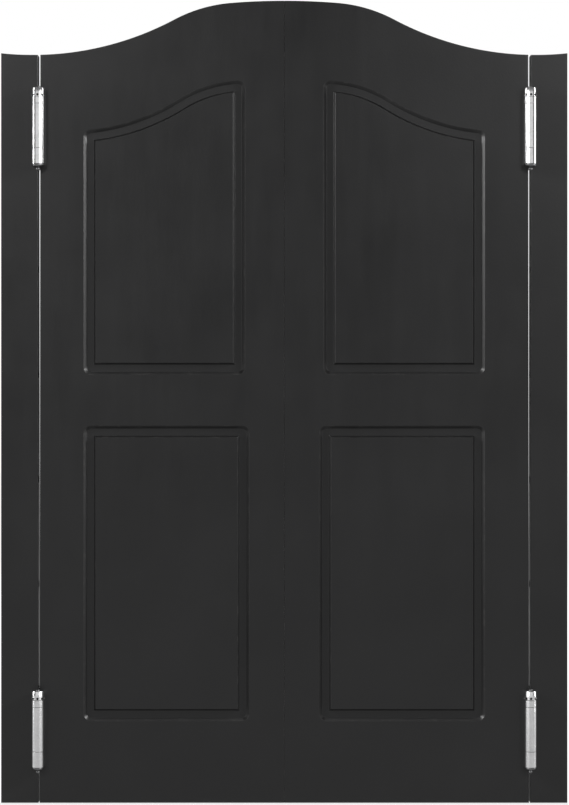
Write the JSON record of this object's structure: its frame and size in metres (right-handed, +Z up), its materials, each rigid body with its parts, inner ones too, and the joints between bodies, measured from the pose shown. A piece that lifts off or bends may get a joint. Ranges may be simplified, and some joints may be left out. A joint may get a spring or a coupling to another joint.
{
  "type": "saloon door pair",
  "caption": "Pair of arched saloon doors with routed panels, hung between two mounting strips on double-action spring hinges.",
  "frame": {"origin": "midway between the two leaves, at mid-thickness, level with their bottom edges", "axes": "+X to the right as seen from the front, +Y from the front to the back, +Z up"},
  "size_m": [0.754, 0.0558, 1.068],
  "materials": {
    "black_paint": "satin black sprayed paint on MDF",
    "stainless_steel": "satin stainless",
    "spring_steel": "oiled spring steel"
  },
  "bodies": {
    "opening_side": {"left_jamb_strip": "black_paint", "right_jamb_strip": "black_paint", "left_upper_jamb_flange": "stainless_steel", "left_upper_front_button": "spring_steel", "left_lower_jamb_flange": "stainless_steel", "left_lower_front_button": "spring_steel", "right_upper_jamb_flange": "stainless_steel", "right_upper_front_button": "spring_steel", "right_lower_jamb_flange": "stainless_steel", "right_lower_front_button": "spring_steel"},
    "left_centre_flanges": {"left_upper_centre_flange": "stainless_steel", "left_upper_front_spring": "spring_steel", "left_upper_back_spring": "spring_steel", "left_lower_centre_flange": "stainless_steel", "left_lower_front_spring": "spring_steel", "left_lower_back_spring": "spring_steel"},
    "left_leaf": {"left_door_leaf": "black_paint", "left_upper_door_flange": "stainless_steel", "left_upper_back_button": "spring_steel", "left_lower_door_flange": "stainless_steel", "left_lower_back_button": "spring_steel"},
    "right_centre_flanges": {"right_upper_centre_flange": "stainless_steel", "right_upper_front_spring": "spring_steel", "right_upper_back_spring": "spring_steel", "right_lower_centre_flange": "stainless_steel", "right_lower_front_spring": "spring_steel", "right_lower_back_spring": "spring_steel"},
    "right_leaf": {"right_door_leaf": "black_paint", "right_upper_door_flange": "stainless_steel", "right_upper_back_button": "spring_steel", "right_lower_door_flange": "stainless_steel", "right_lower_back_button": "spring_steel"},
    "left_upper_front_adjuster": {"left_upper_front_collar": "stainless_steel", "left_upper_front_cross_pin": "stainless_steel", "left_upper_front_spindle": "spring_steel"},
    "left_upper_back_adjuster": {"left_upper_back_collar": "stainless_steel", "left_upper_back_cross_pin": "stainless_steel", "left_upper_back_spindle": "spring_steel"},
    "left_lower_front_adjuster": {"left_lower_front_collar": "stainless_steel", "left_lower_front_cross_pin": "stainless_steel", "left_lower_front_spindle": "spring_steel"},
    "left_lower_back_adjuster": {"left_lower_back_collar": "stainless_steel", "left_lower_back_cross_pin": "stainless_steel", "left_lower_back_spindle": "spring_steel"},
    "right_upper_front_adjuster": {"right_upper_front_collar": "stainless_steel", "right_upper_front_cross_pin": "stainless_steel", "right_upper_front_spindle": "spring_steel"},
    "right_upper_back_adjuster": {"right_upper_back_collar": "stainless_steel", "right_upper_back_cross_pin": "stainless_steel", "right_upper_back_spindle": "spring_steel"},
    "right_lower_front_adjuster": {"right_lower_front_collar": "stainless_steel", "right_lower_front_cross_pin": "stainless_steel", "right_lower_front_spindle": "spring_steel"},
    "right_lower_back_adjuster": {"right_lower_back_collar": "stainless_steel", "right_lower_back_cross_pin": "stainless_steel", "right_lower_back_spindle": "spring_steel"}
  },
  "joints": [
    {"name": "right_opens_to_front", "type": "hinge", "parent": "opening_side", "child": "right_centre_flanges", "pos_m": [0.32682, -0.0197, 0.5], "axis": [0, 0, 1], "range_deg": [0, 110], "stiffness_Nm_per_rad": 1.5, "springref_deg": -51.57},
    {"name": "right_opens_to_back", "type": "hinge", "parent": "right_centre_flanges", "child": "right_leaf", "pos_m": [0.32538, 0.0197, 0.5], "axis": [0, 0, 1], "range_deg": [-110, 0], "stiffness_Nm_per_rad": 1.5, "springref_deg": 51.57},
    {"name": "left_opens_to_front", "type": "hinge", "parent": "opening_side", "child": "left_centre_flanges", "pos_m": [-0.32682, -0.0197, 0.5], "axis": [0, 0, -1], "range_deg": [0, 110], "stiffness_Nm_per_rad": 1.5, "springref_deg": -51.57},
    {"name": "left_opens_to_back", "type": "hinge", "parent": "left_centre_flanges", "child": "left_leaf", "pos_m": [-0.32538, 0.0197, 0.5], "axis": [0, 0, -1], "range_deg": [-110, 0], "stiffness_Nm_per_rad": 1.5, "springref_deg": 51.57},
    {"name": "left_upper_front_adjuster_turn", "type": "hinge", "parent": "opening_side", "child": "left_upper_front_adjuster", "pos_m": [-0.32682, -0.0197, 0.857], "axis": [0, 0, -1], "range_deg": [0, 180]},
    {"name": "left_upper_back_adjuster_turn", "type": "hinge", "parent": "left_leaf", "child": "left_upper_back_adjuster", "pos_m": [-0.32538, 0.0197, 0.857], "axis": [0, 0, -1], "range_deg": [0, 180]},
    {"name": "left_lower_front_adjuster_turn", "type": "hinge", "parent": "opening_side", "child": "left_lower_front_adjuster", "pos_m": [-0.32682, -0.0197, 0.052], "axis": [0, 0, -1], "range_deg": [0, 180]},
    {"name": "left_lower_back_adjuster_turn", "type": "hinge", "parent": "left_leaf", "child": "left_lower_back_adjuster", "pos_m": [-0.32538, 0.0197, 0.052], "axis": [0, 0, -1], "range_deg": [0, 180]},
    {"name": "right_upper_front_adjuster_turn", "type": "hinge", "parent": "opening_side", "child": "right_upper_front_adjuster", "pos_m": [0.32682, -0.0197, 0.857], "axis": [0, 0, 1], "range_deg": [0, 180]},
    {"name": "right_upper_back_adjuster_turn", "type": "hinge", "parent": "right_leaf", "child": "right_upper_back_adjuster", "pos_m": [0.32538, 0.0197, 0.857], "axis": [0, 0, 1], "range_deg": [0, 180]},
    {"name": "right_lower_front_adjuster_turn", "type": "hinge", "parent": "opening_side", "child": "right_lower_front_adjuster", "pos_m": [0.32682, -0.0197, 0.052], "axis": [0, 0, 1], "range_deg": [0, 180]},
    {"name": "right_lower_back_adjuster_turn", "type": "hinge", "parent": "right_leaf", "child": "right_lower_back_adjuster", "pos_m": [0.32538, 0.0197, 0.052], "axis": [0, 0, 1], "range_deg": [0, 180]}
  ]
}
